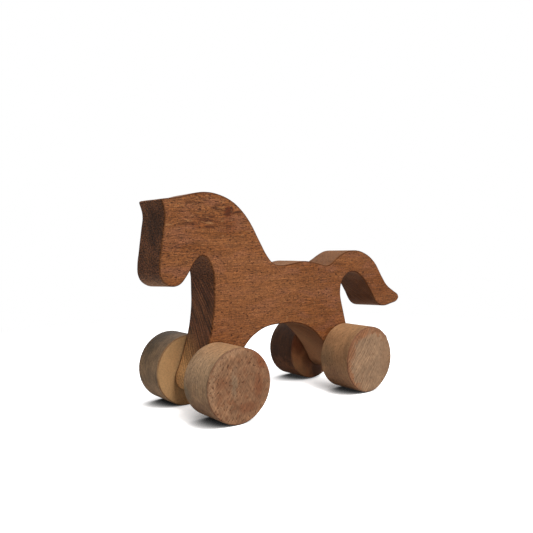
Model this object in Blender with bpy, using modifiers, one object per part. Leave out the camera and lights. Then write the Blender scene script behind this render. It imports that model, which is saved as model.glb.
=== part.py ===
"""Push-along toy horse: one sawn plank on two dowel axles, with a solid wooden wheel fixed at each end of each axle.

Metres, +Z up, the ground at Z = 0. The horse faces +X and its left flank faces +Y.
"""

import math

import bmesh
import bpy

COLLECTION = "toy_horse_on_wheels"

PLANK_THICKNESS = 0.028
PLANK_EDGE_EASE = 0.0012
PLANK_EDGE_RESOLUTION = 1
OUTLINE_STEPS = 4
MM = 0.001

WHEEL_RADIUS = 0.022
WHEEL_WIDTH = 0.0255
WHEEL_EDGE_EASE = 0.001
WHEEL_EDGE_STEPS = 2
# Four times a whole number plus two, so that a flat of the tread, not a corner, is lowest.
WHEEL_SIDES = 78
WHEEL_TO_PLANK = 0.001

AXLE_RADIUS = 0.004
AXLE_SIDES = 36
AXLE_END_CHAMFER = 0.0006
PLANK_BORE_RADIUS = 0.0044
PLANK_BORE_SIDES = 48
WHEEL_BORE_RADIUS = 0.0043
WHEEL_BORE_DEPTH = 0.017
AXLE_END_CLEARANCE = 0.001

WHEELBASE = 0.109
FRONT_AXLE_X = 0.069
REAR_AXLE_X = FRONT_AXLE_X - WHEELBASE
AXLE_HEIGHT = WHEEL_RADIUS * math.cos(math.pi / WHEEL_SIDES)
WHEEL_INNER_FACE_Y = PLANK_THICKNESS / 2 + WHEEL_TO_PLANK
AXLE_LENGTH = 2 * (WHEEL_INNER_FACE_Y + WHEEL_BORE_DEPTH - AXLE_END_CLEARANCE)

SHARP_ANGLE = math.radians(30)
MERGE_DISTANCE = 0.00001

SMOOTH = "AUTO"
CORNER = "VECTOR"

# The side view, in millimetres forward of the origin and above the ground, with how the line passes.
OUTLINE = (
    # crest of the neck, from the forelock back over the poll
    (102.4, 127.7, CORNER),
    (91.0, 129.3, SMOOTH),
    (82.5, 131.5, SMOOTH),
    (73.5, 132.9, SMOOTH),
    (63.2, 131.7, SMOOTH),
    (54.6, 128.5, SMOOTH),
    (47.5, 123.4, SMOOTH),
    (40.2, 115.3, SMOOTH),
    (32.7, 103.0, SMOOTH),
    (26.6, 93.8, SMOOTH),
    # withers, back and croup
    (21.3, 89.0, SMOOTH),
    (15.0, 87.8, SMOOTH),
    (6.0, 88.6, SMOOTH),
    (-5.8, 90.0, SMOOTH),
    (-18.0, 88.0, SMOOTH),
    (-27.6, 86.4, SMOOTH),
    # tail, from its root over the crest to the tip
    (-36.4, 91.5, SMOOTH),
    (-43.9, 95.0, SMOOTH),
    (-53.5, 96.5, SMOOTH),
    (-65.3, 94.2, SMOOTH),
    (-75.5, 87.6, SMOOTH),
    (-84.0, 76.0, SMOOTH),
    (-89.8, 69.2, SMOOTH),
    (-98.3, 63.9, SMOOTH),
    (-103.9, 60.0, SMOOTH),
    (-103.4, 57.8, SMOOTH),
    (-95.0, 55.3, SMOOTH),
    (-84.0, 54.3, SMOOTH),
    (-79.0, 56.4, SMOOTH),
    # hollow between the tail and the rump
    (-72.6, 65.0, SMOOTH),
    (-62.0, 77.0, SMOOTH),
    (-52.3, 81.1, SMOOTH),
    (-42.6, 77.0, SMOOTH),
    (-39.1, 68.5, SMOOTH),
    (-41.0, 55.0, SMOOTH),
    # hind leg
    (-46.5, 36.0, SMOOTH),
    (-50.3, 20.0, SMOOTH),
    (-44.0, 10.4, SMOOTH),
    (-34.9, 14.4, SMOOTH),
    (-29.6, 22.8, SMOOTH),
    # arch of the belly
    (-20.0, 35.6, SMOOTH),
    (-9.2, 44.5, SMOOTH),
    (4.0, 48.9, SMOOTH),
    (16.5, 49.5, SMOOTH),
    (27.0, 48.8, SMOOTH),
    (36.0, 45.4, SMOOTH),
    (42.6, 40.6, SMOOTH),
    (49.5, 31.5, SMOOTH),
    # foreleg
    (58.0, 17.0, SMOOTH),
    (66.5, 10.4, SMOOTH),
    (75.5, 11.0, SMOOTH),
    (80.1, 17.0, SMOOTH),
    (76.6, 29.5, SMOOTH),
    # chest and throat
    (70.0, 53.0, SMOOTH),
    (67.9, 73.0, SMOOTH),
    (69.7, 89.4, SMOOTH),
    (75.4, 95.4, SMOOTH),
    (81.3, 91.5, SMOOTH),
    # jaw, lips and face
    (86.2, 83.2, SMOOTH),
    (92.3, 78.7, SMOOTH),
    (99.3, 79.5, SMOOTH),
    (103.0, 83.4, SMOOTH),
    (104.1, 90.0, SMOOTH),
    (103.2, 98.0, SMOOTH),
    (101.3, 111.0, SMOOTH),
    (100.3, 119.8, SMOOTH),
)


def clear_scene():
    for obj in list(bpy.data.objects):
        bpy.data.objects.remove(obj, do_unlink=True)


def new_collection(name):
    collection = bpy.data.collections.new(name)
    bpy.context.scene.collection.children.link(collection)
    return collection


def wood(name, colour, roughness):
    material = bpy.data.materials.new(name)
    material.use_nodes = True
    shader = material.node_tree.nodes["Principled BSDF"]
    shader.inputs["Base Color"].default_value = (*colour, 1.0)
    shader.inputs["Roughness"].default_value = roughness
    shader.inputs["Metallic"].default_value = 0.0
    material.diffuse_color = (*colour, 1.0)
    return material


def mesh_object(name, mesh, collection):
    obj = bpy.data.objects.new(name, mesh)
    collection.objects.link(obj)
    return obj


def give(obj, material):
    obj.data.materials.clear()
    obj.data.materials.append(material)


def smooth(mesh):
    mesh.shade_smooth()
    mesh.set_sharp_from_angle(angle=SHARP_ANGLE)


def side_view_curve(collection):
    """The outline as a filled, thickened curve with rounded edges, which the offset keeps on the outline."""
    curve = bpy.data.curves.new("horse_outline", "CURVE")
    curve.dimensions = "2D"
    curve.fill_mode = "BOTH"
    curve.extrude = PLANK_THICKNESS / 2 - PLANK_EDGE_EASE
    curve.bevel_depth = PLANK_EDGE_EASE
    curve.bevel_resolution = PLANK_EDGE_RESOLUTION
    curve.offset = -PLANK_EDGE_EASE
    curve.resolution_u = OUTLINE_STEPS
    spline = curve.splines.new("BEZIER")
    spline.bezier_points.add(len(OUTLINE) - 1)
    spline.use_cyclic_u = True
    for point, (along, up, passing) in zip(spline.bezier_points, OUTLINE):
        point.co = (along * MM, up * MM, 0)
        point.handle_left_type = passing
        point.handle_right_type = passing
    obj = mesh_object("horse_outline", curve, collection)
    obj.rotation_euler = (math.pi / 2, 0, 0)
    return obj


def as_mesh(curve_object, name, collection):
    bpy.context.view_layer.update()
    graph = bpy.context.evaluated_depsgraph_get()
    mesh = bpy.data.meshes.new_from_object(curve_object.evaluated_get(graph))
    mesh.name = name
    build = bmesh.new()
    build.from_mesh(mesh)
    bmesh.ops.remove_doubles(build, verts=build.verts, dist=MERGE_DISTANCE)
    bmesh.ops.recalc_face_normals(build, faces=build.faces)
    build.to_mesh(mesh)
    build.free()
    obj = mesh_object(name, mesh, collection)
    obj.matrix_world = curve_object.matrix_world
    bpy.data.objects.remove(curve_object, do_unlink=True)
    return obj


def axle_bore_cutter(name, along, collection):
    mesh = bpy.data.meshes.new(name)
    build = bmesh.new()
    bmesh.ops.create_cone(
        build,
        cap_ends=True,
        segments=PLANK_BORE_SIDES,
        radius1=PLANK_BORE_RADIUS,
        radius2=PLANK_BORE_RADIUS,
        depth=2 * PLANK_THICKNESS,
    )
    build.to_mesh(mesh)
    build.free()
    cutter = mesh_object(name, mesh, collection)
    cutter.location = (along, 0, AXLE_HEIGHT)
    cutter.rotation_euler = (math.pi / 2, 0, 0)
    cutter.hide_render = True
    cutter.display_type = "WIRE"
    return cutter


def cut(obj, cutter):
    modifier = obj.modifiers.new(cutter.name, "BOOLEAN")
    modifier.operation = "DIFFERENCE"
    modifier.solver = "EXACT"
    modifier.object = cutter


def horse_body(parts, cutters, material):
    body = as_mesh(side_view_curve(parts), "horse_body", parts)
    cut(body, axle_bore_cutter("front_bore", FRONT_AXLE_X, cutters))
    cut(body, axle_bore_cutter("rear_bore", REAR_AXLE_X, cutters))
    give(body, material)
    smooth(body.data)


def eased_rim(face_height):
    """Points of a wheel's rounded rim, from its face to its tread."""
    points = []
    for step in range(WHEEL_EDGE_STEPS + 1):
        angle = math.pi / 2 * step / WHEEL_EDGE_STEPS
        out = WHEEL_RADIUS - WHEEL_EDGE_EASE * (1 - math.sin(angle))
        up = face_height - WHEEL_EDGE_EASE * (1 - math.cos(angle))
        points.append((out, up))
    return points


def turned(name, profile, sides, collection):
    """A solid turned about Z from (radius, height) points that run from top to bottom on the outer side."""
    mesh = bpy.data.meshes.new(name)
    points = [(out, 0, up) for out, up in profile]
    mesh.from_pydata(points, [(i, i + 1) for i in range(len(points) - 1)], [])
    obj = mesh_object(name, mesh, collection)
    screw = obj.modifiers.new("turned", "SCREW")
    screw.axis = "Z"
    screw.angle = 2 * math.pi
    screw.steps = sides
    screw.render_steps = sides
    screw.use_merge_vertices = True
    screw.merge_threshold = MERGE_DISTANCE
    screw.use_smooth_shade = True
    return obj


def wheel_profile():
    """Half the section of a wheel: a solid disc with a blind bore for the axle in its inner face."""
    half = WHEEL_WIDTH / 2
    bore_end = WHEEL_BORE_DEPTH - half
    outer_rim = eased_rim(half)
    inner_rim = [(out, -up) for out, up in reversed(outer_rim)]
    return [
        (0, half),
        *outer_rim,
        *inner_rim,
        (WHEEL_BORE_RADIUS, -half),
        (WHEEL_BORE_RADIUS, bore_end),
        (0, bore_end),
    ]


def axle_profile():
    half = AXLE_LENGTH / 2
    neck = AXLE_RADIUS - AXLE_END_CHAMFER
    shoulder = half - AXLE_END_CHAMFER
    return [
        (0, half),
        (neck, half),
        (AXLE_RADIUS, shoulder),
        (AXLE_RADIUS, -shoulder),
        (neck, -half),
        (0, -half),
    ]


def wheel(name, side, axle, material, collection):
    """side is 1 on the horse's left and -1 on its right. The axle's own Z points to its right."""
    obj = turned(name, wheel_profile(), WHEEL_SIDES, collection)
    obj.parent = axle
    obj.location = (0, 0, -side * (WHEEL_INNER_FACE_Y + WHEEL_WIDTH / 2))
    obj.rotation_euler = (math.pi if side > 0 else 0, 0, 0)
    give(obj, material)


def wheelset(end, along, materials, collection):
    """An axle dowel with its own origin on the line it turns about, and the two wheels it carries."""
    axle = turned(f"{end}_axle", axle_profile(), AXLE_SIDES, collection)
    axle.location = (along, 0, AXLE_HEIGHT)
    axle.rotation_euler = (math.pi / 2, 0, 0)
    give(axle, materials["axle"])
    wheel(f"wheel_{end}_left", 1, axle, materials["wheel"], collection)
    wheel(f"wheel_{end}_right", -1, axle, materials["wheel"], collection)


def main():
    clear_scene()
    parts = new_collection(COLLECTION)
    cutters = new_collection(f"{COLLECTION}_cutters")
    materials = {
        "body": wood("body_wood", (0.27, 0.11, 0.045), 0.6),
        "wheel": wood("wheel_wood", (0.38, 0.23, 0.13), 0.7),
        "axle": wood("axle_wood", (0.58, 0.42, 0.25), 0.65),
    }
    horse_body(parts, cutters, materials["body"])
    wheelset("front", FRONT_AXLE_X, materials, parts)
    wheelset("rear", REAR_AXLE_X, materials, parts)


main()
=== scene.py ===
"""Looks of the push-along toy horse: a sawn, sanded and oiled hardwood plank on four wooden wheels.

The outline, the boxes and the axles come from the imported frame. The horse faces +X, and its left flank
faces +Y. Shapes are in metres. Materials measure in millimetres, because their first node scales the
object's coordinates by a thousand.
"""

import math

import bmesh
import bpy
import numpy as np
from mathutils import Euler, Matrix, Vector, geometry, noise

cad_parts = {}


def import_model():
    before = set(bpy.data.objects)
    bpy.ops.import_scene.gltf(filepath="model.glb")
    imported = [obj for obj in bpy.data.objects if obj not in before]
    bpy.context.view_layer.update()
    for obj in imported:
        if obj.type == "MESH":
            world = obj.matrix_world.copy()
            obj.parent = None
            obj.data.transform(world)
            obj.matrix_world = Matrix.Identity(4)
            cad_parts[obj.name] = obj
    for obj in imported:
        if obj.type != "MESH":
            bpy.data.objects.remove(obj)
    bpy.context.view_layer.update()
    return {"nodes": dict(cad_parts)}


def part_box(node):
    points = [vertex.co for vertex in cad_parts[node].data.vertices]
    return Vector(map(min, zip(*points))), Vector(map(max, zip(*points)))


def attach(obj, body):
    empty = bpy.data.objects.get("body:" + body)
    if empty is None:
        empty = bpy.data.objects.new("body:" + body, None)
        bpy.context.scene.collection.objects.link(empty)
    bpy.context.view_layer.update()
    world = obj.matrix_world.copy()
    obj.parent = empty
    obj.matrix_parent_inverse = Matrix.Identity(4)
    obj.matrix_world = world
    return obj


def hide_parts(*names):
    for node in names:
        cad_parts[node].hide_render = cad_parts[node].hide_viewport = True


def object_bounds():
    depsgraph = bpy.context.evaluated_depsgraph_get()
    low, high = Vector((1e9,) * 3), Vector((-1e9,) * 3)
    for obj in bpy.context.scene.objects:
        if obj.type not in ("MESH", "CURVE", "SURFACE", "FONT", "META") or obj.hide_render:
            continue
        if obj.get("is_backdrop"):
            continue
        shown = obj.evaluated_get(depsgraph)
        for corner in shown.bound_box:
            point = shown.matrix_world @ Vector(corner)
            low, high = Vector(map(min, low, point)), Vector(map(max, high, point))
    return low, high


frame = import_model()

MM = 0.001
WELD = 1e-6

# ---------------------------------------------------------------- shapes

# Plank. A scale is how many swings of a noise fit in a metre, or in a millimetre along the outline.
OUTLINE_SPACING = 0.9 * MM
OUTLINE_FINE_SPACING = 0.15 * MM
OUTLINE_ROUNDING = 0.7 * MM
LEAST_TURN = 1e-3
ARRIS_RADIUS = 0.85 * MM
ARRIS_VARIATION = 0.25
ARRIS_SCALE = 0.06
ARRIS_SEED = 7.1
ARRIS_STEPS = 5
ARRIS_SHARE_OF_CORNER = 0.8
SAWN_STEPS = 14
SAW_WAVE = 0.07 * MM
SAW_SCALE_ALONG = 0.07
SAW_SCALE_ACROSS = 90
FLANK_WAVE = 0.004
FLANK_SCALE = 45
FLANK_SEED = 3.0
FLANK_GRID = 2.6 * MM
CAP_TOLERANCE = 1e-7
BORE_CLEARANCE = 0.4 * MM
BORE_CHAMFER = 0.3 * MM
BORE_SIDES = 48

# Where the shaped outline leaves the CAD's, and where it leans outwards towards the right flank.
# Each is (x, z, reach, push) in millimetres, with the push along the outline's outward normal.
OUTLINE_TOUCHES = (
    (-43.0, 50.0, 14.0, 0.8),
    (-85.0, 75.0, 14.0, 0.5),
    (-93.0, 54.0, 7.0, 0.4),
    (90.0, 79.0, 7.0, 0.5),
    (103.0, 82.0, 4.5, 0.3),
    (86.7, 82.5, 4.5, -0.9),
    (47.0, 36.0, 9.0, -0.5),
)
SAW_LEANS = (
    (96.0, 128.0, 4.0, 0.5),
    (84.0, 131.0, 6.0, -0.6),
    (90.0, 79.0, 9.0, 1.4),
    (-90.0, 54.0, 11.0, 1.3),
    (71.0, 50.0, 15.0, -0.9),
    (19.0, 88.0, 7.0, -1.3),
    (-22.0, 87.0, 4.0, 0.7),
    (-39.0, 93.0, 8.0, -1.7),
)

# Wheels. RIM_SCALE is how many swings of its noise fit in a rim's radius, and FACE_SCALE in a metre.
WHEEL_SIDES = 180
RIM_RADIUS = 0.8 * MM
RIM_STEPS = 5
RIM_WANDER = 0.0022
RIM_SCALE = 2.3
FACE_RINGS = 14
FACE_RING_CROWDING = 0.8
FACE_WAVE = 0.12 * MM
FACE_SCALE = 70
TREAD_RINGS = 14
BORE_RINGS = 4
BORE_DEPTH = 17 * MM

# How each wheel leaves a true circle, in shares of its radius: its size, its oval, how far it stands off
# its centre, and its flats, each (direction, width, depth). A flat of negative depth is a bump.
# Directions and widths are in degrees, from the horse's front upwards.
ROUND = {"size": 0.0, "oval": 0.004, "oval_turn": 30, "off": 0.0, "off_turn": 0, "flats": (), "seed": 1.0}
WHEEL_SHAPES = {
    "wheel_front_left": {
        **ROUND,
        "size": -0.004,
        "oval": 0.006,
        "off": 0.012,
        "off_turn": 275,
        "flats": ((230, 16, 0.012),),
        "seed": 1.7,
    },
    "wheel_front_right": {
        **ROUND,
        "size": 0.016,
        "oval": 0.003,
        "oval_turn": 75,
        "off": 0.022,
        "off_turn": 15,
        "seed": 2.9,
    },
    "wheel_rear_left": {
        **ROUND,
        "size": 0.008,
        "oval_turn": 100,
        "off": 0.022,
        "off_turn": 110,
        "flats": ((232, 18, 0.018), (140.6, 2.2, -0.022), (147, 3.0, 0.008)),
        "seed": 4.3,
    },
    "wheel_rear_right": {**ROUND, "oval_turn": 140, "off": 0.028, "off_turn": 50, "seed": 5.9},
}


def smooth_noise(x, y, z):
    return noise.noise(Vector((x, y, z)))


def placed(name, data):
    """A new object in the scene."""
    made = bpy.data.objects.new(name, data)
    bpy.context.scene.collection.objects.link(made)
    return made


def mesh_piece(name, points, faces, layers):
    """A smooth-shaded object from points and faces. layers holds one number for each point, by name."""
    mesh = bpy.data.meshes.new(name)
    mesh.from_pydata([tuple(point) for point in points], [], faces)
    for layer, values in layers.items():
        attribute = mesh.attributes.new(layer, "FLOAT", "POINT")
        attribute.data.foreach_set("value", np.asarray(values, np.float32))
    build = bmesh.new()
    build.from_mesh(mesh)
    bmesh.ops.recalc_face_normals(build, faces=build.faces)
    build.to_mesh(mesh)
    build.free()
    mesh.shade_smooth()
    return placed(name, mesh)


class Surface:
    """Points, faces and layers of a mesh as it grows ring by ring."""

    def __init__(self, *layers):
        self.points = []
        self.faces = []
        self.layers = {layer: [] for layer in layers}

    def ring(self, points, **values):
        """Adds points, with one number or a list of numbers for each layer, and returns their indices."""
        first = len(self.points)
        self.points.extend(points)
        for layer, stored in self.layers.items():
            stored.extend(np.broadcast_to(values.get(layer, 0.0), len(points)))
        return list(range(first, len(self.points)))

    def bridge(self, ring, other):
        """Joins two closed rings of the same length with a band of quads."""
        for i in range(len(ring)):
            j = (i + 1) % len(ring)
            self.faces.append((ring[i], ring[j], other[j], other[i]))

    def loft(self, rings):
        """Joins each ring to the next."""
        for ring, other in zip(rings, rings[1:]):
            self.bridge(ring, other)

    def fan(self, ring):
        """Closes a ring with triangles that meet at its middle."""
        centre = self.ring([tuple(np.mean([self.points[index] for index in ring], axis=0))])[0]
        for i in range(len(ring)):
            self.faces.append((ring[i], ring[(i + 1) % len(ring)], centre))

    def side_view(self, ring):
        """The (x, z) points of a ring."""
        return np.array([(self.points[index][0], self.points[index][2]) for index in ring])

    def piece(self, name):
        return mesh_piece(name, self.points, self.faces, self.layers)


def cad_outline(node):
    """Ordered (x, z) points of the ring where the plank's sawn edge meets its rounded arris."""
    build = bmesh.new()
    build.from_mesh(frame["nodes"][node].data)
    bmesh.ops.remove_doubles(build, verts=build.verts, dist=WELD)
    level = min(abs(vert.co.y) for vert in build.verts)
    on_ring = {vert for vert in build.verts if abs(vert.co.y - level) < WELD}
    start = min(on_ring, key=lambda vert: (vert.co.z, vert.co.x))
    path = [start]
    before, here = None, start
    while True:
        beside = [edge.other_vert(here) for edge in here.link_edges]
        onward = [vert for vert in beside if vert in on_ring and vert is not before]
        before, here = here, onward[0]
        if here is start:
            break
        path.append(here)
    points = np.array([(vert.co.x, vert.co.z) for vert in path])
    build.free()
    return points if signed_area(points) > 0 else points[::-1]


def signed_area(points):
    x, z = points[:, 0], points[:, 1]
    return 0.5 * float(np.sum(x * np.roll(z, -1) - np.roll(x, -1) * z))


def respaced(points, spacing):
    """A closed line's points at an even spacing along it."""
    closed = np.vstack([points, points[:1]])
    travelled = np.concatenate([[0], np.cumsum(np.linalg.norm(np.diff(closed, axis=0), axis=1))])
    count = round(travelled[-1] / spacing)
    stops = np.arange(count) * travelled[-1] / count
    return np.column_stack([np.interp(stops, travelled, closed[:, axis]) for axis in (0, 1)])


def blurred(values, reach):
    """Values on a closed line, each averaged with its neighbours by a bell curve of this reach in steps."""
    total, weights = np.zeros_like(values), 0.0
    for step in range(-3 * math.ceil(reach), 3 * math.ceil(reach) + 1):
        weight = math.exp(-0.5 * (step / reach) ** 2)
        total = total + weight * np.roll(values, step, axis=0)
        weights += weight
    return total / weights


def plank_outline():
    """The outline at its final spacing, with its facets and corners rounded over."""
    fine = respaced(cad_outline("horse_body"), OUTLINE_FINE_SPACING)
    outline = respaced(blurred(fine, OUTLINE_ROUNDING / OUTLINE_FINE_SPACING), OUTLINE_SPACING)
    return outline + outward(outline) * pushes(outline, OUTLINE_TOUCHES)[:, None]


def outward(points):
    along = np.roll(points, -1, axis=0) - np.roll(points, 1, axis=0)
    along /= np.linalg.norm(along, axis=1)[:, None]
    return np.column_stack([along[:, 1], -along[:, 0]])


def pushes(points, touches):
    """How far each point is pushed by all of the touches together."""
    total = np.zeros(len(points))
    for x, z, reach, push in touches:
        away = np.linalg.norm(points / MM - (x, z), axis=1)
        total += push * MM * np.exp(-0.5 * (away / reach) ** 2)
    return total


def arris_radii(points, around):
    """How far the arris is rounded at each point: less where the outline itself turns sharply."""
    ahead = np.roll(points, -1, axis=0) - points
    behind = np.roll(ahead, 1, axis=0)
    crossed = behind[:, 0] * ahead[:, 1] - behind[:, 1] * ahead[:, 0]
    turn = np.arctan2(crossed, np.sum(ahead * behind, axis=1))
    corner = np.linalg.norm(ahead, axis=1) / np.maximum(turn, LEAST_TURN)
    wander = [1 + ARRIS_VARIATION * smooth_noise(ARRIS_SCALE * s, ARRIS_SEED, 0.0) for s in around]
    radii = np.minimum(ARRIS_RADIUS * np.array(wander), ARRIS_SHARE_OF_CORNER * corner)
    tightest = np.min([np.roll(radii, step) for step in (-1, 0, 1)], axis=0)
    return blurred(tightest, 1.0)


def inside(points, outline):
    """Which of the points lie within a closed outline, by counting crossings to their right."""
    x, z = points[:, :1], points[:, 1:]
    x0, z0 = outline[:, 0], outline[:, 1]
    x1, z1 = np.roll(x0, -1), np.roll(z0, -1)
    spans = (z0 > z) != (z1 > z)
    rise = np.where(z1 == z0, 1.0, z1 - z0)
    crossing = x0 + (z - z0) * (x1 - x0) / rise
    return (np.sum(spans & (x < crossing), axis=1) % 2) == 1


def flank_points(outline, holes):
    """A staggered grid of points on the flat flank, clear of its outline and of its holes."""
    low, high = outline.min(axis=0), outline.max(axis=0)
    rows = np.arange(low[1], high[1], FLANK_GRID * math.sqrt(3) / 2)
    grid = []
    for number, z in enumerate(rows):
        for x in np.arange(low[0] + FLANK_GRID * (number % 2) / 2, high[0], FLANK_GRID):
            grid.append((x, z))
    grid = np.array(grid)
    grid = grid[inside(grid, outline)]
    rims = np.vstack([outline, *holes])
    away = np.min(np.linalg.norm(grid[:, None, :] - rims[None, :, :], axis=2), axis=1)
    grid = grid[away > FLANK_GRID / 2]
    for hole in holes:
        grid = grid[~inside(grid, hole)]
    return grid


def cap(surface, rims, grid, y):
    """Fills a flank between its outline, its holes and a grid of inner points. Each rim is a ring."""
    inner = surface.ring([(x, y, z) for x, z in grid])
    chosen = [index for rim in rims for index in rim] + inner
    flat = [Vector(point) for point in surface.side_view(chosen)]
    edges = []
    first = 0
    for rim in rims:
        edges += [(first + i, first + (i + 1) % len(rim)) for i in range(len(rim))]
        first += len(rim)
    places, _, triangles, origins, _, _ = geometry.delaunay_2d_cdt(flat, edges, [], 0, CAP_TOLERANCE)
    middles = np.array([[places[i][:] for i in triangle] for triangle in triangles]).mean(axis=1)
    keep = inside(middles, surface.side_view(rims[0]))
    for hole in rims[1:]:
        keep &= ~inside(middles, surface.side_view(hole))
    for triangle, wanted in zip(triangles, keep):
        if wanted:
            surface.faces.append(tuple(chosen[origins[i][0]] for i in triangle))


def axle_end(node):
    return "front" if "front" in node else "rear"


def axle_line(end):
    """(x, z) and radius of an axle."""
    low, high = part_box(f"{end}_axle")
    return np.array([(low.x + high.x) / 2, (low.z + high.z) / 2]), (high.x - low.x) / 2


def circle(centre, radius, sides):
    turns = 2 * math.pi * np.arange(sides) / sides
    return centre + radius * np.column_stack([np.cos(turns), np.sin(turns)])


def plank_profile(half, radii):
    """(y, inset, arris) of each ring across the sawn edge, from the left flank to the right."""
    rounding = []
    for step in range(ARRIS_STEPS + 1):
        angle = math.pi / 2 * step / ARRIS_STEPS
        worn = math.sqrt(math.sin(2 * angle)) if step < ARRIS_STEPS else 0.0
        rounding.append((half - radii * (1 - math.cos(angle)), radii * (1 - math.sin(angle)), worn))
    edge = rounding[-1][0]
    straight = [(edge * (1 - 2 * step / SAWN_STEPS), 0 * radii, 0.0) for step in range(1, SAWN_STEPS)]
    mirrored = [(-y, inset, worn) for y, inset, worn in reversed(rounding)]
    return rounding + straight + mirrored


def bore(surface, end, half):
    """The hole through the plank for an axle. Returns its rims on the left and the right flank."""
    centre, axle_radius = axle_line(end)
    radius = axle_radius + BORE_CLEARANCE
    steps = (
        (half, radius + BORE_CHAMFER),
        (half - BORE_CHAMFER, radius),
        (BORE_CHAMFER - half, radius),
        (-half, radius + BORE_CHAMFER),
    )
    rings = []
    for y, out in steps:
        rings.append(surface.ring([(x, y, z) for x, z in circle(centre, out, BORE_SIDES)]))
    surface.loft(rings)
    return rings[0], rings[-1]


def waved(points, half):
    """Hand sanding leaves the flanks very slightly uneven."""
    moved = []
    for x, y, z in points:
        wave = FLANK_WAVE * smooth_noise(FLANK_SCALE * x, FLANK_SCALE * z, FLANK_SEED + y / half)
        moved.append((x, y * (1 + wave), z))
    return moved


def saw_wave(around, across):
    """How far the saw swayed at each point of one ring, from -1 to 1."""
    places = zip(around, across)
    return np.array([smooth_noise(SAW_SCALE_ALONG * s, SAW_SCALE_ACROSS * y, 0.0) for s, y in places])


def sawn_edge(surface, outline, half):
    """Rings from the left flank to the right. The saw leaned here and there, so the edge is not square."""
    normals = outward(outline)
    around = np.arange(len(outline)) * OUTLINE_SPACING / MM
    radii = arris_radii(outline, around)
    leans = pushes(outline, SAW_LEANS)
    rings = []
    for y, inset, worn in plank_profile(half, radii):
        shift = SAW_WAVE * saw_wave(around, y) * (1 - inset / radii) - inset
        shift += leans * (half - y) / (2 * half)
        line = outline + normals * shift[:, None]
        points = [(x, depth, z) for (x, z), depth in zip(line, y)]
        sawn = 0.0 if np.allclose(inset, radii) else 1.0
        rings.append(surface.ring(points, around=around, arris=worn, sawn=sawn))
    surface.loft(rings)
    return rings


def plank():
    """The sawn plank, with a hole across each pair of legs for its axle."""
    low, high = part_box("horse_body")
    half = (high.y - low.y) / 2
    surface = Surface("around", "arris", "sawn")
    rings = sawn_edge(surface, plank_outline(), half)
    bores = [bore(surface, end, half) for end in ("front", "rear")]
    holes = [surface.side_view(left_rim) for left_rim, _ in bores]
    grid = flank_points(surface.side_view(rings[0]), holes)
    cap(surface, [rings[0]] + [left_rim for left_rim, _ in bores], grid, half)
    cap(surface, [rings[-1]] + [right_rim for _, right_rim in bores], grid, -half)
    surface.points = waved(surface.points, half)
    return surface.piece("horse_plank")


def wheel_profile(radius, width, bore_radius):
    """(distance from the axle, depth from the outer face, layers) of each ring, from there to the bore."""
    face_radius = radius - RIM_RADIUS
    rows = []
    for step in range(1, FACE_RINGS + 1):
        rows.append((face_radius * (step / FACE_RINGS) ** FACE_RING_CROWDING, 0.0, {}))
    for step in range(1, RIM_STEPS + 1):
        angle = math.pi / 2 * step / RIM_STEPS
        layers = {"arris": math.sin(2 * angle), "tread": float(step == RIM_STEPS)}
        rows.append((radius - RIM_RADIUS * (1 - math.sin(angle)), RIM_RADIUS * (1 - math.cos(angle)), layers))
    for step in range(1, TREAD_RINGS + 1):
        depth = RIM_RADIUS + (width - 2 * RIM_RADIUS) * step / TREAD_RINGS
        rows.append((radius, depth, {"tread": 1.0}))
    for step in range(1, RIM_STEPS + 1):
        angle = math.pi / 2 * (1 - step / RIM_STEPS)
        layers = {"arris": math.sin(2 * angle)}
        depth = width - RIM_RADIUS * (1 - math.cos(angle))
        rows.append((radius - RIM_RADIUS * (1 - math.sin(angle)), depth, layers))
    for step in range(1, FACE_RINGS // 2 + 1):
        share = step / (FACE_RINGS // 2)
        rows.append((face_radius * (1 - share) + (bore_radius + BORE_CHAMFER) * share, width, {}))
    for step in range(BORE_RINGS + 1):
        depth = width - BORE_CHAMFER - (BORE_DEPTH - BORE_CHAMFER) * step / BORE_RINGS
        rows.append((bore_radius, depth, {}))
    return rows


def out_of_round(turn, trait):
    """How much larger the rim is than a true circle in this direction, as a share of its radius."""
    share = trait["size"]
    share += trait["oval"] * math.cos(2 * (turn - math.radians(trait["oval_turn"])))
    share += trait["off"] * math.cos(turn - math.radians(trait["off_turn"]))
    share += RIM_WANDER * smooth_noise(RIM_SCALE * math.cos(turn), RIM_SCALE * math.sin(turn), trait["seed"])
    for at, width, depth in trait["flats"]:
        off = math.remainder(turn - math.radians(at), 2 * math.pi) / math.radians(width)
        share -= depth * math.exp(-off * off)
    return share


def wheel(node, trait):
    """A wheel built round its CAD node's axis, slightly out of round, with a blind bore in its inner face."""
    low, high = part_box(node)
    side = 1 if low.y > 0 else -1
    outer = high.y if side > 0 else low.y
    centre, axle_radius = axle_line(axle_end(node))
    radius, width = (high.x - low.x) / 2, high.y - low.y
    turns = 2 * math.pi * np.arange(WHEEL_SIDES) / WHEEL_SIDES
    shape = np.array([out_of_round(turn, trait) for turn in turns])
    surface = Surface("arris", "tread")
    rings = []
    for out, depth, layers in wheel_profile(radius, width, axle_radius + BORE_CLEARANCE):
        reach = out * (1 + shape * (out / radius) ** 2)
        x = centre[0] + reach * np.cos(turns)
        z = centre[1] + reach * np.sin(turns)
        uneven = np.array([smooth_noise(FACE_SCALE * a, FACE_SCALE * b, trait["seed"]) for a, b in zip(x, z)])
        y = outer - side * (depth + FACE_WAVE * uneven * (1 - depth / width))
        rings.append(surface.ring(list(zip(x, y, z)), **layers))
    surface.loft(rings)
    surface.fan(rings[0])
    surface.fan(rings[-1])
    return surface.piece(node + "_turned")


# ---------------------------------------------------------------- materials

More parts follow.
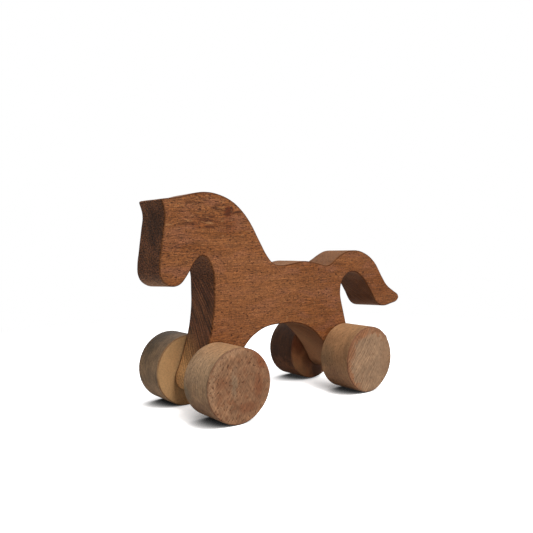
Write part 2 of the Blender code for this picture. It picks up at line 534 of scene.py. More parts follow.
# A patch is (centre, radii, strength, colour), in millimetres. A mark is a patch that goes right through
# the wood, with only x and z for its centre and its radii.
TO_MM = 1000.0
THROUGH = 99.0
SPECULAR = 0.35
NOISE_LOW, NOISE_HIGH = 0.3, 0.7
HORSE_BUMP = 0.12 * MM
WHEEL_BUMP = 0.08 * MM

FLANK_DARK = (0.213, 0.066, 0.0155)
FLANK_MIDDLE = (0.264, 0.090, 0.0250)
FLANK_LIGHT = (0.314, 0.117, 0.0385)
FLANK_ROSY = (0.285, 0.104, 0.044)
KNOT_COLOUR = (0.130, 0.028, 0.006)
STREAK_COLOUR = (0.085, 0.024, 0.008)
FLECK_COLOUR = (0.47, 0.22, 0.085)
PORE_COLOUR = (0.066, 0.020, 0.007)
LONG_GRAIN_DARK = (0.235, 0.095, 0.035)
LONG_GRAIN_LIGHT = (0.33, 0.148, 0.062)
END_GRAIN_DARK = (0.104, 0.0365, 0.0124)
END_GRAIN_LIGHT = (0.180, 0.068, 0.0255)
END_GRAIN_ROSY = (0.20, 0.070, 0.030)
UNDERSIDE_BOUNCE_COLOUR = (0.46, 0.225, 0.110)
FOOT_COLOUR = (0.55, 0.295, 0.120)
HIND_FOOT_COLOUR = (0.50, 0.245, 0.122)
# Dark colour of the worn arris, also used for painted shade along the far side of the sawn edge.
ARRIS_AND_SHADE_COLOUR = (0.09, 0.025, 0.007)
BROW_COLOUR = (0.0572, 0.0201, 0.0068)
ARCH_COLOUR = (0.243, 0.0918, 0.0344)

# Grain on the flank, from long to short: the shift and the factors of its noise, and its depth of shade.
FLANK_GRAIN = (
    ((0.0, 0.0, 0.0), (0.07, 1.0, 1.45), 0.21),
    ((0.0, 0.0, 0.0), (0.36, 1.2, 1.60), 0.18),
    ((61.0, 0.0, 23.0), (1.40, 1.2, 1.80), 0.22),
)
SAW_LINE_TURN = -43.0
SAW_LINE_PITCH = 2.1
SAW_LINE_SWAY = 3.0
FRONT_HALF = (0.0, 50.0)
FACING_FRONT = (0.3, 0.8)
FOOT_TOP = (22.0, 52.0)
CHEST_TOP = (72.0, 84.0)
SPECKLE_START = (68.0, 84.0)
FAR_SHADE_BAND = (-13.2, -11.6)
CREST = (115.0, 150.0)
DOT_RANGE = (0.665, 0.725)
DASH_RANGE = (0.66, 0.72)
FLECK_RANGE = (0.70, 0.82)
# Painted light: a paler patch under the muzzle stands for light bounced up from the floor.
UNDERSIDE_BOUNCE_MARKS = (((95.0, 79.0), (15.0, 4.5), 0.70, UNDERSIDE_BOUNCE_COLOUR),)
END_GRAIN_PATCHES = (
    ((95.0, 3.0, 114.0), (30.0, 12.0, 11.0), 0.75, BROW_COLOUR),
    ((72.0, 0.0, 92.5), (9.0, THROUGH, 6.0), 0.60, ARCH_COLOUR),
)
# Marks on the flank. The first four are painted light: lighter at the front, darker at the tail and head.
FLANK_MARKS_AND_PAINTED_LIGHT = (
    ((42.0, 68.0), (36.0, 34.0), 0.50, (0.335, 0.125, 0.042)),
    ((-88.0, 72.0), (28.0, 22.0), 0.40, (0.215, 0.066, 0.016)),
    ((75.0, 114.5), (12.0, 3.2), 0.45, (0.200, 0.054, 0.013)),
    ((56.7, 113.6), (5.0, 5.0), 0.50, (0.190, 0.050, 0.012)),
    ((82.4, 126.1), (5.0, 0.9), 0.70, STREAK_COLOUR),
    ((70.1, 118.5), (4.2, 0.7), 0.85, STREAK_COLOUR),
    ((73.2, 116.0), (6.0, 0.8), 0.80, STREAK_COLOUR),
    ((71.3, 112.3), (3.2, 0.7), 0.80, STREAK_COLOUR),
    ((84.7, 113.3), (6.0, 0.9), 0.70, STREAK_COLOUR),
    ((64.6, 125.8), (2.2, 0.9), 0.50, STREAK_COLOUR),
    ((66.0, 123.7), (3.4, 0.8), 0.70, STREAK_COLOUR),
    ((49.0, 121.4), (3.6, 1.0), 0.70, STREAK_COLOUR),
    ((56.7, 122.1), (3.9, 3.4), 0.95, KNOT_COLOUR),
    ((58.4, 120.8), (1.8, 0.8), 0.75, STREAK_COLOUR),
    ((54.6, 123.0), (0.9, 2.2), 0.70, STREAK_COLOUR),
    ((71.0, 114.6), (3.0, 0.7), 0.60, FLECK_COLOUR),
    ((84.7, 115.1), (2.8, 0.7), 0.50, FLECK_COLOUR),
    ((97.7, 112.8), (2.6, 0.7), 0.50, FLECK_COLOUR),
)

BIRCH_PLAIN = (0.50, 0.36, 0.21)
BIRCH_DARK = (0.36, 0.24, 0.13)
BIRCH_LIGHT = (0.56, 0.42, 0.26)
BIRCH_PORE = (0.16, 0.09, 0.045)

TAN = (0.42, 0.22, 0.11)
RUST = (0.345, 0.135, 0.055)
OLIVE = (0.17, 0.125, 0.07)

WHEEL_SAW_PITCH = 1.9
WHEEL_SAW_SWAY = 6.0
CROSSING_TURN = -65.0
RING_RAGGED = 12.0
RING_EDGE = 0.07
RING_FADE = 0.6
# Each wheel's colours. Patches and marks are placed from its own centre, with y outwards. A ring is
# (turn, spread, inside, strength, colour): it fills the face outside that share of the radius, and is
# strongest at that turn, in degrees from the horse's front upwards. A spread of 2 goes all the way round.
# stain, pores, rim_dark and worn are strengths, and saw_marks and each grit are depths of shade. The dark
# band by the rim sets in between the two distances of rim_band, measured outwards from the wheel's middle.
LOOK = {
    "face": (0.31, 0.150, 0.072),
    "inner": (0.57, 0.33, 0.145),
    # Inner marks: on the far rear wheel, mostly painted shadow.
    "inner_marks_and_painted_shadow": (),
    "red": (0.22, 0.070, 0.024),
    "rings": (),
    "stain": 0.45,
    "pores": 0.75,
    "pore_range": (0.68, 0.76),
    "saw_marks": 0.12,
    "saw_turn": 40,
    "grain_turn": 30,
    "grit": 0.15,
    "tread_grit": 0.13,
    "inner_grit": 0.08,
    "face_marks": (),
    "tread": (0.46, 0.27, 0.135),
    "tread_dark": (0.30, 0.165, 0.078),
    # Tread patches: tone, and painted light and shade.
    "tread_tone_and_painted_light": (),
    "rim_band": (6.0, 10.0),
    "rim_dark": 0.3,
    "rim_tint": (0.17, 0.095, 0.045),
    "worn": 0.7,
    "seed": 1.0,
}
WHEEL_LOOKS = {
    "wheel_front_left": {
        **LOOK,
        "face_marks": (
            ((4.2, 2.0), (2.0, 7.5), 0.60, (0.29, 0.19, 0.11)),
            ((10.5, 10.0), (5.0, 3.0), 0.30, TAN),
            ((12.5, 3.0), (4.0, 3.0), 0.35, (0.27, 0.095, 0.036)),
            ((-15.5, 12.5), (3.5, 4.0), 0.80, (0.27, 0.075, 0.022)),
            ((-13.0, -1.5), (2.8, 7.0), 0.65, (0.24, 0.075, 0.026)),
            ((-5.0, -13.0), (6.0, 2.8), 0.65, (0.24, 0.080, 0.030)),
            ((13.0, -13.0), (5.0, 6.0), 0.45, TAN),
            ((9.0, -17.0), (7.0, 3.5), 0.40, TAN),
        ),
        "rings": (
            (45, 0.0, 0.80, 0.75, (0.42, 0.235, 0.125)),
            (180, 0.0, 0.90, 0.60, (0.40, 0.20, 0.098)),
            (132, -0.55, 0.84, 0.80, (0.29, 0.082, 0.026)),
        ),
        "tread_tone_and_painted_light": (
            # Painted light on the top patch and painted shade on the bottom one; the middle two are patches
            # of tone.
            ((6.0, 0.0, 21.0), (11.0, 14.0, 6.0), 0.60, (0.52, 0.285, 0.14)),
            ((18.0, 0.0, 8.0), (10.0, 20.0, 8.0), 0.65, (0.48, 0.30, 0.168)),
            ((20.0, -11.0, -6.0), (8.0, 5.0, 6.0), 0.75, OLIVE),
            ((14.0, 0.0, -17.0), (14.0, 20.0, 11.0), 0.80, (0.25, 0.132, 0.072)),
        ),
        "rim_band": (10.8, 11.8),
        "rim_dark": 0.75,
        "rim_tint": (0.15, 0.075, 0.035),
    },
    "wheel_rear_left": {
        **LOOK,
        "face": (0.38, 0.225, 0.125),
        "rings": (
            (35, 0.45, 0.86, 0.85, RUST),
            (0, 2.0, 0.93, 0.45, (0.30, 0.15, 0.072)),
        ),
        "stain": 0.12,
        "pores": 0.35,
        "saw_marks": 0.24,
        "grit": 0.09,
        "tread_grit": 0.09,
        "face_marks": (
            ((9.5, 18.5), (8.0, 3.2), 0.85, RUST),
            ((17.0, 8.0), (3.0, 6.0), 0.6, RUST),
            ((-17.0, 0.0), (5.0, 14.0), 0.35, (0.32, 0.165, 0.082)),
        ),
        "tread": (0.41, 0.215, 0.098),
        "tread_dark": (0.33, 0.172, 0.080),
        "tread_tone_and_painted_light": (
            # The top patch is painted light and the bottom one painted shade; the first is a patch of tone.
            ((20.0, -8.0, 2.0), (8.0, 7.0, 7.0), 0.40, (0.22, 0.14, 0.070)),
            ((5.0, 0.0, 22.0), (14.0, 20.0, 7.0), 0.45, (0.52, 0.28, 0.128)),
            ((13.0, 0.0, -17.0), (14.0, 20.0, 11.0), 0.70, (0.25, 0.118, 0.058)),
        ),
        "seed": 2.0,
    },
    "wheel_front_right": {
        **LOOK,
        "tread": (0.34, 0.205, 0.105),
        "tread_dark": (0.20, 0.125, 0.066),
        "tread_tone_and_painted_light": (
            # Painted shadow: the dark top patch stands for the shade of the head and body on this far tread.
            ((10.0, 6.0, 17.0), (14.0, 9.0, 8.0), 0.7, (0.118, 0.078, 0.038)),
            ((15.0, 0.0, -14.0), (12.0, 20.0, 9.0), 0.6, (0.44, 0.27, 0.15)),
        ),
        "seed": 3.0,
    },
    "wheel_rear_right": {
        **LOOK,
        "inner": (0.46, 0.20, 0.085),
        "inner_marks_and_painted_shadow": (
            # Painted shadow: the three dark patches stand for the shade of the body and hind leg, with a
            # golden patch among them.
            ((16.0, 6.0), (9.0, 8.0), 0.85, (0.19, 0.055, 0.020)),
            ((15.0, -13.0), (8.0, 7.0), 0.70, (0.52, 0.26, 0.115)),
            ((5.0, -6.0), (6.0, 8.0), 0.80, (0.20, 0.072, 0.028)),
            ((-2.0, -17.0), (5.0, 9.0), 0.90, (0.12, 0.045, 0.018)),
        ),
        # Painted shade: this far tread is coloured very dark for the shadow of the body and the near rear
        # wheel.
        "tread": (0.11, 0.036, 0.008),
        "tread_dark": (0.080, 0.026, 0.006),
        "tread_tone_and_painted_light": (((14.0, 0.0, -15.0), (12.0, 20.0, 10.0), 0.7, (0.27, 0.105, 0.045)),),
        "seed": 4.0,
    },
}


class Recipe:
    """The node tree of one material, with a short method for each kind of step."""

    def __init__(self, name, plain, roughness):
        self.material = bpy.data.materials.new(name)
        self.material.use_nodes = True
        self.material.diffuse_color = (*plain, 1.0)
        self.tree = self.material.node_tree
        self.shader = self.tree.nodes["Principled BSDF"]
        self.shader.inputs["Base Color"].default_value = (*plain, 1.0)
        self.shader.inputs["Roughness"].default_value = roughness
        self.shader.inputs["Specular IOR Level"].default_value = SPECULAR

    def feed(self, socket, value):
        if isinstance(value, bpy.types.NodeSocket):
            self.tree.links.new(value, socket)
        elif isinstance(value, tuple) and len(value) == 3 and socket.type == "RGBA":
            socket.default_value = (*value, 1.0)
        else:
            socket.default_value = value

    def step(self, kind, inputs, output=0, **settings):
        node = self.tree.nodes.new(kind)
        for key, value in settings.items():
            setattr(node, key, value)
        for key, value in inputs.items():
            self.feed(node.inputs[key], value)
        return node.outputs[output]

    def maths(self, operation, *values):
        return self.step("ShaderNodeMath", dict(enumerate(values)), operation=operation)

    def sum(self, a, b):
        return self.maths("ADD", a, b)

    def times(self, a, b):
        return self.maths("MULTIPLY", a, b)

    def less(self, a):
        """One minus a."""
        return self.maths("SUBTRACT", 1.0, a)

    def between(self, share, start, end):
        """A number that runs from start to end while the share runs from 0 to 1."""
        return self.sum(start, self.times(share, end - start))

    def swing(self, value, reach):
        """A noise's distance from a half, multiplied by this reach."""
        return self.times(self.sum(value, -0.5), reach)

    def faded(self, value, strength):
        """A noise with its swings about a half multiplied by this strength."""
        return self.sum(0.5, self.swing(value, strength))

    def scaled(self, vector, factors):
        return self.step("ShaderNodeVectorMath", {0: vector, 1: factors}, operation="MULTIPLY")

    def shifted(self, vector, by):
        return self.step("ShaderNodeVectorMath", {0: vector, 1: by}, operation="ADD")

    def turned(self, vector, degrees, axis):
        """Coordinates turned about an axis, so that a pattern lies at that angle."""
        inputs = {"Vector": vector, "Angle": math.radians(degrees)}
        return self.step("ShaderNodeVectorRotate", inputs, rotation_type=axis + "_AXIS")

    def length(self, vector):
        return self.step("ShaderNodeVectorMath", {0: vector}, output="Value", operation="LENGTH")

    def parts(self, vector):
        node = self.tree.nodes.new("ShaderNodeSeparateXYZ")
        self.feed(node.inputs[0], vector)
        return node.outputs

    def joined(self, x, y, z):
        return self.step("ShaderNodeCombineXYZ", {0: x, 1: y, 2: z})

    def layer(self, name):
        return self.step("ShaderNodeAttribute", {}, output="Fac", attribute_name=name)

    def noise(self, vector, factors, detail=0.0, rough=0.5):
        """Cloudy numbers about a half, one blob for each millimetre divided by its factor."""
        inputs = {"Vector": self.scaled(vector, factors), "Scale": 1.0, "Detail": detail, "Roughness": rough}
        return self.step("ShaderNodeTexNoise", inputs)

    def saw(self, vector, degrees, axis, pitch, sway):
        """Saw marks about a half, at this angle and pitch in millimetres, swaying and coming and going."""
        turned = self.turned(vector, degrees, axis)
        along = self.parts(turned)[0]
        wander = self.swing(self.noise(vector, (0.06, 0.06, 0.06), detail=1.0), sway)
        wave = self.maths("SINE", self.times(self.sum(along, wander), 2 * math.pi / pitch))
        patchy = self.mask(self.noise(turned, (0.2, 0.07, 0.07), detail=1.0), 0.35, 0.62)
        fine = self.noise(turned, (1.5 / pitch, 0.03, 0.03), detail=1.0, rough=0.7)
        return self.sum(fine, self.times(self.times(wave, patchy), 0.16))

    def mask(self, value, low, high):
        """0 below low, 1 above high and a smooth rise between them."""
        inputs = {"Value": value, "From Min": low, "From Max": high}
        return self.step("ShaderNodeMapRange", inputs, interpolation_type="SMOOTHSTEP")

    def ramp(self, value, *stops):
        node = self.tree.nodes.new("ShaderNodeValToRGB")
        self.feed(node.inputs[0], value)
        elements = node.color_ramp.elements
        while len(elements) < len(stops):
            elements.new(0.5)
        for element, (position, colour) in zip(elements, stops):
            element.position = position
            element.color = (*colour, 1.0)
        return node.outputs[0]

    def mix(self, share, a, b, blend="MIX"):
        inputs = {0: share, 6: a, 7: b}
        return self.step("ShaderNodeMix", inputs, output=2, data_type="RGBA", blend_type=blend)

    def grey(self, value):
        return self.step("ShaderNodeCombineColor", {0: value, 1: value, 2: value})

    def shade(self, colour, value, depth):
        """The colour, darker or lighter by up to this depth as a noise runs over its usual range."""
        inputs = {"Value": value, "From Min": NOISE_LOW, "From Max": NOISE_HIGH}
        inputs |= {"To Min": 1 - depth, "To Max": 1 + depth}
        factor = self.step("ShaderNodeMapRange", inputs)
        return self.mix(1.0, colour, self.grey(factor), blend="MULTIPLY")

    def spot(self, place, centre, radii, soft, wobble):
        """1 inside an ellipsoid and 0 outside, its surface broken up by the wobble noise."""
        near = self.shifted(place, tuple(-value for value in centre))
        near = self.scaled(near, tuple(1 / value for value in radii))
        away = self.sum(self.length(near), self.swing(wobble, 1.6))
        return self.less(self.mask(away, 1.0 - soft, 1.0 + soft))

    def patched(self, colour, place, patches, soft, wobble):
        """The colour with patches of other colours on it."""
        for centre, radii, strength, tint in patches:
            here = self.times(self.spot(place, centre, radii, soft, wobble), strength)
            colour = self.mix(here, colour, tint)
        return colour

    def finish(self, colour, roughness, height, depth):
        self.feed(self.shader.inputs["Base Color"], colour)
        self.feed(self.shader.inputs["Roughness"], roughness)
        inputs = {"Height": height, "Distance": depth, "Strength": 1.0}
        self.feed(self.shader.inputs["Normal"], self.step("ShaderNodeBump", inputs))
        return self.material


def tinted(colour, factor):
    """The colour, darker or lighter by this factor."""
    return tuple(factor * value for value in colour)


def through(marks):
    """The marks as patches."""
    return [((x, 0.0, z), (wide, THROUGH, high), *look) for (x, z), (wide, high), *look in marks]


def object_place(recipe):
    """Object coordinates in millimetres."""
    place = recipe.step("ShaderNodeTexCoord", {}, output="Object")
    return recipe.scaled(place, (TO_MM, TO_MM, TO_MM))


def object_normal(recipe):
    return recipe.step("ShaderNodeTexCoord", {}, output="Normal")


def horse_pores(r, place):
    """Masks of the dark pores and the light flecks. Both crowd together here and there, and on the head."""
    _, _, z = r.parts(place)
    crowding = r.noise(place, (0.03, 0.03, 0.09), detail=1.0)
    lively = r.mask(r.sum(z, r.times(crowding, 60.0)), *CREST)
    crowd = r.swing(crowding, 0.10)
    dots = r.noise(r.shifted(place, (11.0, 0.0, 7.0)), (0.80, 1.0, 1.75))
    dots = r.mask(r.sum(dots, crowd), *DOT_RANGE)
    dashes = r.noise(r.shifted(place, (19.0, 0.0, 43.0)), (0.42, 0.8, 1.85))
    dashes = r.mask(r.sum(dashes, r.sum(crowd, r.times(lively, 0.02))), *DASH_RANGE)
    flecks = r.noise(r.shifted(place, (37.0, 0.0, 11.0)), (0.28, 0.8, 1.1))
    flecks = r.mask(r.sum(flecks, r.times(lively, 0.05)), *FLECK_RANGE)
    return r.maths("MAXIMUM", r.times(dots, 0.8), dashes), flecks


def horse_flank(r, place, bands, streaks):
    """Oiled flat-sawn face: wavy bands, long fine streaks, short dark pores, the marks on the head and
    painted light.
    """
    rosy = r.mask(r.noise(r.shifted(place, (0.0, 0.0, 91.0)), (0.05, 0.08, 0.16), detail=2.0), 0.45, 0.7)
    wobble = r.noise(place, (0.25, 0.25, 0.6), detail=2.0)
    flank = r.ramp(bands, (0.3, FLANK_DARK), (0.5, FLANK_MIDDLE), (0.7, FLANK_LIGHT))
    flank = r.mix(rosy, flank, FLANK_ROSY)
    # Painted light: broad patches lighten the front of the flank and darken its tail and head.
    flank = r.patched(flank, place, through(FLANK_MARKS_AND_PAINTED_LIGHT), 0.4, wobble)
    flank = r.shade(flank, streaks, 0.11)
    for shift, factors, depth in FLANK_GRAIN:
        grain = r.noise(r.shifted(place, shift), factors)
        flank = r.shade(flank, grain, depth)
    pores, flecks = horse_pores(r, place)
    flank = r.mix(r.times(flecks, 0.4), flank, FLECK_COLOUR)
    return r.mix(r.times(pores, 0.85), flank, PORE_COLOUR), pores


def long_grain_edge(r, place, across, bands, streaks, cloud):
    """The sawn edge where it runs along the grain: faint rows, and painted bounce light under the jaw."""
    edge = r.ramp(bands, (0.3, LONG_GRAIN_DARK), (0.7, LONG_GRAIN_LIGHT))
    edge = r.shade(edge, streaks, 0.20)
    edge = r.shade(edge, r.noise(across, (0.9, 0.07, 1.0), detail=1.0), 0.12)
    return r.patched(edge, place, through(UNDERSIDE_BOUNCE_MARKS), 0.5, cloud)


def end_grain_edge(r, place, across, cloud):
    """The sawn edge where it cuts the grain: dark, darkest at the brow and palest under the neck."""
    broad = r.noise(r.turned(across, SAW_LINE_TURN - 25.0, "Z"), (0.13, 0.015, 1.0), detail=1.0)
    edge = r.ramp(cloud, (0.3, END_GRAIN_DARK), (0.7, END_GRAIN_LIGHT))
    edge = r.mix(r.times(r.mask(broad, 0.45, 0.7), 0.6), edge, END_GRAIN_ROSY)
    return r.patched(edge, place, END_GRAIN_PATCHES, 0.5, cloud)


def horse_edge(r, place, bands, streaks):
    """The band-sawn edge: slanting saw lines and speckle on its end grain, paler feet, and painted shade at
    its far side.
    """
    x, y, z = r.parts(place)
    nx, _, _ = r.parts(object_normal(r))
    across = r.joined(y, r.layer("around"), 0.0)
    lines = r.saw(across, SAW_LINE_TURN, "Z", SAW_LINE_PITCH, SAW_LINE_SWAY)
    speckle = r.noise(across, (0.65, 1.15, 1.0))
    cloud = r.noise(place, (0.08, 0.10, 0.08), detail=2.0)
    in_front = r.mask(x, *FRONT_HALF)
    faces_front = r.mask(nx, *FACING_FRONT)

    end_on = r.maths("POWER", r.maths("ABSOLUTE", nx), 1.5)
    long_grain = long_grain_edge(r, place, across, bands, streaks, cloud)
    edge = r.mix(end_on, long_grain, end_grain_edge(r, place, across, cloud))
    height = r.sum(r.sum(z, r.times(lines, 10.0)), r.times(y, 0.6))
    foot = r.times(r.less(r.mask(height, *FOOT_TOP)), faces_front)
    edge = r.mix(foot, edge, r.mix(in_front, HIND_FOOT_COLOUR, FOOT_COLOUR))

    strength = r.times(r.between(in_front, 0.35, 1.0), r.between(foot, 1.0, 0.35))
    strength = r.times(strength, r.between(r.mask(z, *CHEST_TOP), 1.0, 0.28))
    lines = r.faded(lines, strength)
    edge = r.shade(edge, lines, 0.66)
    strength = r.times(r.between(r.mask(z, *SPECKLE_START), 0.4, 1.0), r.between(foot, 1.0, 0.8))
    strength = r.times(strength, r.times(r.between(in_front, 0.4, 1.0), r.between(end_on, 0.2, 1.0)))
    edge = r.shade(edge, r.faded(speckle, strength), 0.60)
    # Painted shade: a dark band along the far side of the front-facing edge, for the shadowed gap and outline
    # there.
    far_edge_shade = r.times(r.less(r.mask(y, *FAR_SHADE_BAND)), faces_front)
    return r.mix(r.times(far_edge_shade, 0.75), edge, ARRIS_AND_SHADE_COLOUR), lines


def horse_wood():
    """Oiled reddish hardwood with its grain along the horse."""
    r = Recipe("horse_wood", FLANK_MIDDLE, 0.55)
    place = object_place(r)
    nx, _, _ = r.parts(object_normal(r))
    drift = r.noise(place, (0.02, 0.02, 0.035), detail=1.0)
    grain = r.shifted(place, r.joined(0.0, 0.0, r.swing(drift, 5.0)))
    bands = r.noise(grain, (0.012, 0.03, 0.12), detail=3.0, rough=0.6)
    streaks = r.noise(grain, (0.06, 0.5, 0.75), detail=2.0, rough=0.7)
    flank, pores = horse_flank(r, grain, bands, streaks)
    edge, lines = horse_edge(r, place, bands, streaks)
    sawn = r.layer("sawn")
    arris = r.layer("arris")
    colour = r.mix(sawn, flank, edge)
    worn = r.times(arris, r.between(r.mask(nx, 0.15, 0.5), 0.95, 0.35))
    colour = r.mix(worn, colour, ARRIS_AND_SHADE_COLOUR)
    height = r.sum(r.times(streaks, 0.4), r.times(pores, -0.9))
    height = r.sum(height, r.times(r.times(sawn, lines), 1.6))
    shine = r.sum(r.between(sawn, 0.24, 0.18), r.times(arris, -0.14))
    r.feed(r.shader.inputs["Specular IOR Level"], shine)
    return r.finish(colour, r.between(streaks, 0.50, 0.66), height, HORSE_BUMP)


def wheel_rings(r, face, place, wobble, radius, rings):
    """The face with ragged rings of other colours round its rim."""
    u, _, v = r.parts(place)
    away = r.length(r.joined(u, 0.0, v))
    ragged = r.sum(away, r.swing(wobble, RING_RAGGED))
    for turn, spread, inside_share, strength, tint in rings:
        angle = math.radians(turn)
        towards = r.sum(r.times(u, math.cos(angle) / radius), r.times(v, math.sin(angle) / radius))
        towards = r.mask(towards, -spread, RING_FADE - spread)
        ring = r.mask(ragged, (inside_share - RING_EDGE) * radius, (inside_share + RING_EDGE) * radius)
        face = r.mix(r.times(r.times(ring, towards), strength), face, tint)
    return face


def wheel_face(r, place, seeded, radius, look):
    """A wheel's sawn outer face: mottled, redder towards its rim, with open pores and fine saw marks."""
    u, _, _ = r.parts(place)
    grain = r.turned(seeded, look["grain_turn"], "Y")
    crossed = r.turned(seeded, look["grain_turn"] + CROSSING_TURN, "Y")
    blotches = r.noise(seeded, (0.13, 0.1, 0.13), detail=3.0, rough=0.6)
    mottle = r.noise(grain, (0.55, 0.4, 0.32), detail=1.0, rough=0.6)
    fibres = r.noise(grain, (1.2, 0.8, 0.42))
    crossing = r.noise(crossed, (1.3, 0.8, 0.2))
    wobble = r.noise(seeded, (0.35, 0.35, 0.35), detail=3.0, rough=0.6)
    pores = r.noise(r.shifted(grain, (0.0, 0.0, 71.0)), (0.85, 0.8, 0.6))
    pores = r.mask(pores, *look["pore_range"])
    marks = r.saw(place, look["saw_turn"], "Y", WHEEL_SAW_PITCH, WHEEL_SAW_SWAY)
    marks = r.swing(marks, r.mask(u, -14.0, 8.0))

    face = r.ramp(blotches, (0.35, tinted(look["face"], 0.80)), (0.65, tinted(look["face"], 1.12)))
    face = r.patched(face, place, through(look["face_marks"]), 0.5, wobble)
    face = wheel_rings(r, face, place, wobble, radius, look["rings"])
    face = r.mix(r.times(r.mask(wobble, 0.52, 0.64), look["stain"]), face, look["red"])
    face = r.shade(face, mottle, 0.8 * look["grit"])
    face = r.shade(face, r.sum(marks, 0.5), look["saw_marks"])
    face = r.shade(face, fibres, look["grit"])
    face = r.shade(face, crossing, 0.6 * look["grit"])
    return r.mix(r.times(pores, look["pores"]), face, tinted(look["red"], 0.3)), r.sum(fibres, marks)


def wheel_tread(r, place, seeded, look):
    """A wheel's turned tread: soft grain round it, dark specks, tone with painted light and shade, a dark
    band by its outer rim.
    """
    _, w, v = r.parts(place)
    clouds = r.noise(seeded, (0.08, 0.10, 0.08), detail=2.0)
    rounds = r.noise(seeded, (0.12, 0.75, 0.12), detail=1.0, rough=0.7)
    flicks = r.noise(seeded, (0.30, 1.0, 0.30))
    pits = r.noise(seeded, (0.90, 1.0, 0.90))
    wobble = r.noise(seeded, (0.3, 0.3, 0.3), detail=2.0)
    specks = r.noise(r.shifted(seeded, (50.0, 0.0, 0.0)), (0.7, 0.9, 0.7))
    rim_band = r.mask(r.sum(w, r.swing(clouds, 3.0)), *look["rim_band"])
    rim_band = r.times(rim_band, r.mask(v, -8.0, 10.0))

    tread = r.ramp(clouds, (0.35, look["tread_dark"]), (0.65, look["tread"]))
    # Patches of tone and of painted light and shade: lighter tops, darker undersides, painted shadow on the
    # far treads.
    tread = r.patched(tread, place, look["tread_tone_and_painted_light"], 0.5, wobble)
    tread = r.mix(r.times(rim_band, look["rim_dark"]), tread, look["rim_tint"])
    for grain in (rounds, flicks, pits):
        tread = r.shade(tread, grain, look["tread_grit"])
    tread = r.mix(r.times(r.mask(specks, 0.68, 0.77), 0.5), tread, tinted(look["tread_dark"], 0.35))
    return tread, rounds


def wheel_inner(r, place, seeded, clouds, look):
    """A wheel's inner face: smoother and paler, with soft patches, which on the far rear wheel are mostly
    painted shadow.
    """
    flicks = r.noise(seeded, (1.3, 0.8, 1.1))
    inner = r.ramp(clouds, (0.3, tinted(look["inner"], 0.92)), (0.7, tinted(look["inner"], 1.08)))
    inner = r.patched(inner, place, through(look["inner_marks_and_painted_shadow"]), 0.6, clouds)
    return r.shade(inner, flicks, look["inner_grit"])


def wheel_wood(node, look):
    """Paler wood than the horse's, with its own face, tread and inner face on each wheel."""
    low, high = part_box(node)
    centre = (low + high) / 2
    side = 1.0 if low.y > 0 else -1.0
    r = Recipe(node + "_wood", look["face"], 0.62)
    place = r.shifted(object_place(r), tuple(-TO_MM * value for value in centre))
    place = r.scaled(place, (1.0, side, 1.0))
    seeded = r.shifted(place, (31.0 * look["seed"], 0.0, 17.0 * look["seed"]))
    clouds = r.noise(seeded, (0.15, 0.15, 0.10), detail=2.0)
    face, face_height = wheel_face(r, place, seeded, TO_MM * (high.x - low.x) / 2, look)
    tread, tread_height = wheel_tread(r, place, seeded, look)
    inner = wheel_inner(r, place, seeded, clouds, look)
    _, w, _ = r.parts(place)
    on_tread = r.layer("tread")
    colour = r.mix(r.mask(w, -1.0, 1.0), inner, face)
    colour = r.mix(on_tread, colour, tread)
    worn = r.times(r.layer("arris"), r.mask(clouds, 0.2, 0.55))
    colour = r.mix(r.times(worn, look["worn"]), colour, tinted(look["red"], 0.6))
    height = r.sum(r.times(on_tread, tread_height), r.times(r.less(on_tread), face_height))
    return r.finish(colour, r.between(clouds, 0.56, 0.72), height, WHEEL_BUMP)


def axle_wood():
    """Pale birch dowel with its grain along the axle."""
    r = Recipe("axle_wood_grain", BIRCH_PLAIN, 0.6)
    place = object_place(r)
    streaks = r.noise(place, (1.6, 0.05, 1.6), detail=3.0, rough=0.6)
    pores = r.mask(r.noise(place, (1.8, 0.4, 1.8), detail=1.0), 0.66, 0.76)
    colour = r.ramp(streaks, (0.3, BIRCH_DARK), (0.7, BIRCH_LIGHT))
    colour = r.mix(r.times(pores, 0.5), colour, BIRCH_PORE)
    height = r.sum(r.times(streaks, 0.6), r.times(pores, -0.5))
    return r.finish(colour, r.between(streaks, 0.52, 0.67), height, WHEEL_BUMP)


# ---------------------------------------------------------------- studio

# Floor. It looks along FLOOR_LOOKS for whatever covers it within FLOOR_CONTACT metres, so its contact
# shadows fall the other way. Between the two distances of FLOOR_FADE it turns to plain white.
FLOOR_SIZE = 8.0
FLOOR_BOUNCE = 0.62
FLOOR_GAIN = 1.35
FLOOR_FILL = 0.8
FLOOR_CONTACT = 0.025
FLOOR_LOOKS = (-0.49, 0.39, 0.78)
FLOOR_CONTACT_RANGE = (0.12, 0.66)
FLOOR_FADE = (0.20, 0.45)

# Light. Each softbox stands LIGHT_DISTANCE metres from the toy's middle, on its own side.
WHITE = (1.0, 1.0, 1.0)
WORLD_LIGHT = 0.33
BACKDROP = 1.0
LIGHT_DISTANCE = 1.3
KEY_SIDE = (-0.05, 0.54, 0.84)
KEY_SIZE = 0.55
KEY_POWER = 13.5
BACK_SIDE = (-0.2, -0.94, 0.27)
BACK_SIZE = 0.9
BACK_POWER = 2.4

# Camera, turned, raised and rolled in degrees, and drawn back in metres from the point it looks at
CAMERA_AZIMUTH = 141.4
CAMERA_ELEVATION = 2.2
CAMERA_ROLL = -0.7
CAMERA_DISTANCE = 0.3868
CAMERA_AIM = (0.01685, 0.0, 0.0867)
CAMERA_LENS = 38.98
CAMERA_SENSOR = 36.0
CAMERA_CLIP = (0.01, 20.0)


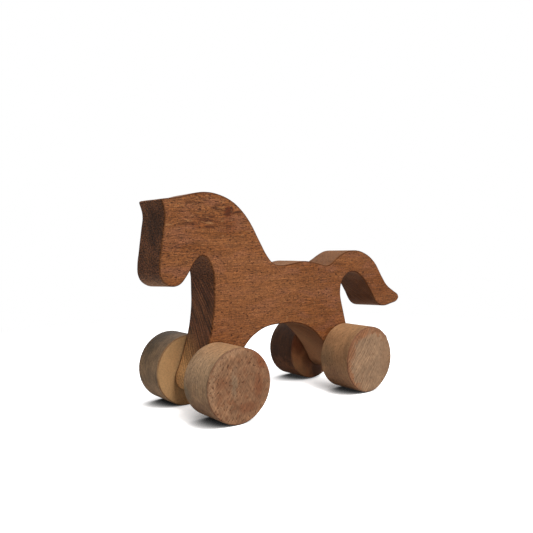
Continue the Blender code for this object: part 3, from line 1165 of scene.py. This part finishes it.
def floor_as_seen(r):
    """Brightened, so that only the contact shadows stay dark, and plain white farther off."""
    inputs = {"Distance": FLOOR_CONTACT, "Normal": r.joined(*FLOOR_LOOKS)}
    open_air = r.step("ShaderNodeAmbientOcclusion", inputs, output="AO", samples=32)
    open_air = r.mask(open_air, *FLOOR_CONTACT_RANGE)
    lit = r.step("ShaderNodeBsdfDiffuse", {"Color": r.grey(r.times(open_air, FLOOR_GAIN))})
    fill = r.step("ShaderNodeEmission", {"Color": WHITE, "Strength": r.times(open_air, FLOOR_FILL)})
    bright = r.step("ShaderNodeAddShader", {0: lit, 1: fill})
    far = r.mask(r.length(r.step("ShaderNodeTexCoord", {}, output="Object")), *FLOOR_FADE)
    white = r.step("ShaderNodeEmission", {"Color": WHITE, "Strength": 1.0})
    return r.step("ShaderNodeMixShader", {0: far, 1: bright, 2: white})


def floor(ground):
    """A large pale floor, brighter to the camera than to the toy."""
    half = FLOOR_SIZE / 2
    mesh = bpy.data.meshes.new("floor")
    corners = [(-half, -half, ground), (half, -half, ground), (half, half, ground), (-half, half, ground)]
    mesh.from_pydata(corners, [], [(0, 1, 2, 3)])
    placed("floor", mesh)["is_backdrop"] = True
    r = Recipe("pale_floor", (0.9, 0.9, 0.9), 1.0)
    seen = r.step("ShaderNodeLightPath", {}, output="Is Camera Ray")
    plain = r.step("ShaderNodeBsdfDiffuse", {"Color": (FLOOR_BOUNCE,) * 3})
    both = r.step("ShaderNodeMixShader", {0: seen, 1: plain, 2: floor_as_seen(r)})
    r.feed(r.tree.nodes["Material Output"].inputs["Surface"], both)
    mesh.materials.append(r.material)


def world():
    """White all round for the camera, and dimmer for the light it casts."""
    made = bpy.data.worlds.new("studio")
    bpy.context.scene.world = made
    made.use_nodes = True
    tree = made.node_tree
    path = tree.nodes.new("ShaderNodeLightPath")
    level = tree.nodes.new("ShaderNodeMix")
    level.inputs[2].default_value = WORLD_LIGHT
    level.inputs[3].default_value = BACKDROP
    tree.links.new(path.outputs["Is Camera Ray"], level.inputs[0])
    tree.links.new(level.outputs[0], tree.nodes["Background"].inputs["Strength"])
    tree.nodes["Background"].inputs["Color"].default_value = (*WHITE, 1.0)


def softbox(name, side, middle, size, power):
    """A square light that the camera does not see, aimed at the middle from this side."""
    lamp = bpy.data.lights.new(name, "AREA")
    lamp.shape = "SQUARE"
    lamp.size = size
    lamp.energy = power
    obj = placed(name, lamp)
    obj.location = middle + LIGHT_DISTANCE * Vector(side)
    obj.rotation_euler = (middle - obj.location).to_track_quat("-Z", "Y").to_euler()
    obj.visible_camera = False


def camera():
    data = bpy.data.cameras.new("camera")
    data.lens = CAMERA_LENS
    data.sensor_width = CAMERA_SENSOR
    data.clip_start, data.clip_end = CAMERA_CLIP
    obj = placed("camera", data)
    turn, lift = math.radians(CAMERA_AZIMUTH), math.radians(CAMERA_ELEVATION)
    back = Vector((math.sin(turn) * math.cos(lift), -math.cos(turn) * math.cos(lift), math.sin(lift)))
    obj.location = Vector(CAMERA_AIM) + back * CAMERA_DISTANCE
    level = (-back).to_track_quat("-Z", "Y")
    obj.rotation_euler = (level @ Euler((0, 0, math.radians(CAMERA_ROLL))).to_quaternion()).to_euler()
    bpy.context.scene.camera = obj


def studio():
    low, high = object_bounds()
    floor(low.z)
    world()
    middle = (low + high) / 2
    softbox("key", KEY_SIDE, middle, KEY_SIZE, KEY_POWER)
    softbox("back", BACK_SIDE, middle, BACK_SIZE, BACK_POWER)
    camera()
    settings = bpy.context.scene.view_settings
    settings.view_transform = "Standard"
    settings.look = "None"


# ---------------------------------------------------------------- the toy


def dress(piece, node, body, material):
    """Puts a piece in the place of its CAD node, with this material."""
    piece.data.materials.append(material)
    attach(piece, body)
    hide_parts(node)


def build():
    dress(plank(), "horse_body", "horse", horse_wood())
    for node, trait in WHEEL_SHAPES.items():
        material = wheel_wood(node, WHEEL_LOOKS[node])
        dress(wheel(node, trait), node, f"{axle_end(node)}_wheelset", material)
    grain = axle_wood()
    for end in ("front", "rear"):
        axle = frame["nodes"][f"{end}_axle"]
        axle.data.materials.clear()
        axle.data.materials.append(grain)


build()
studio()
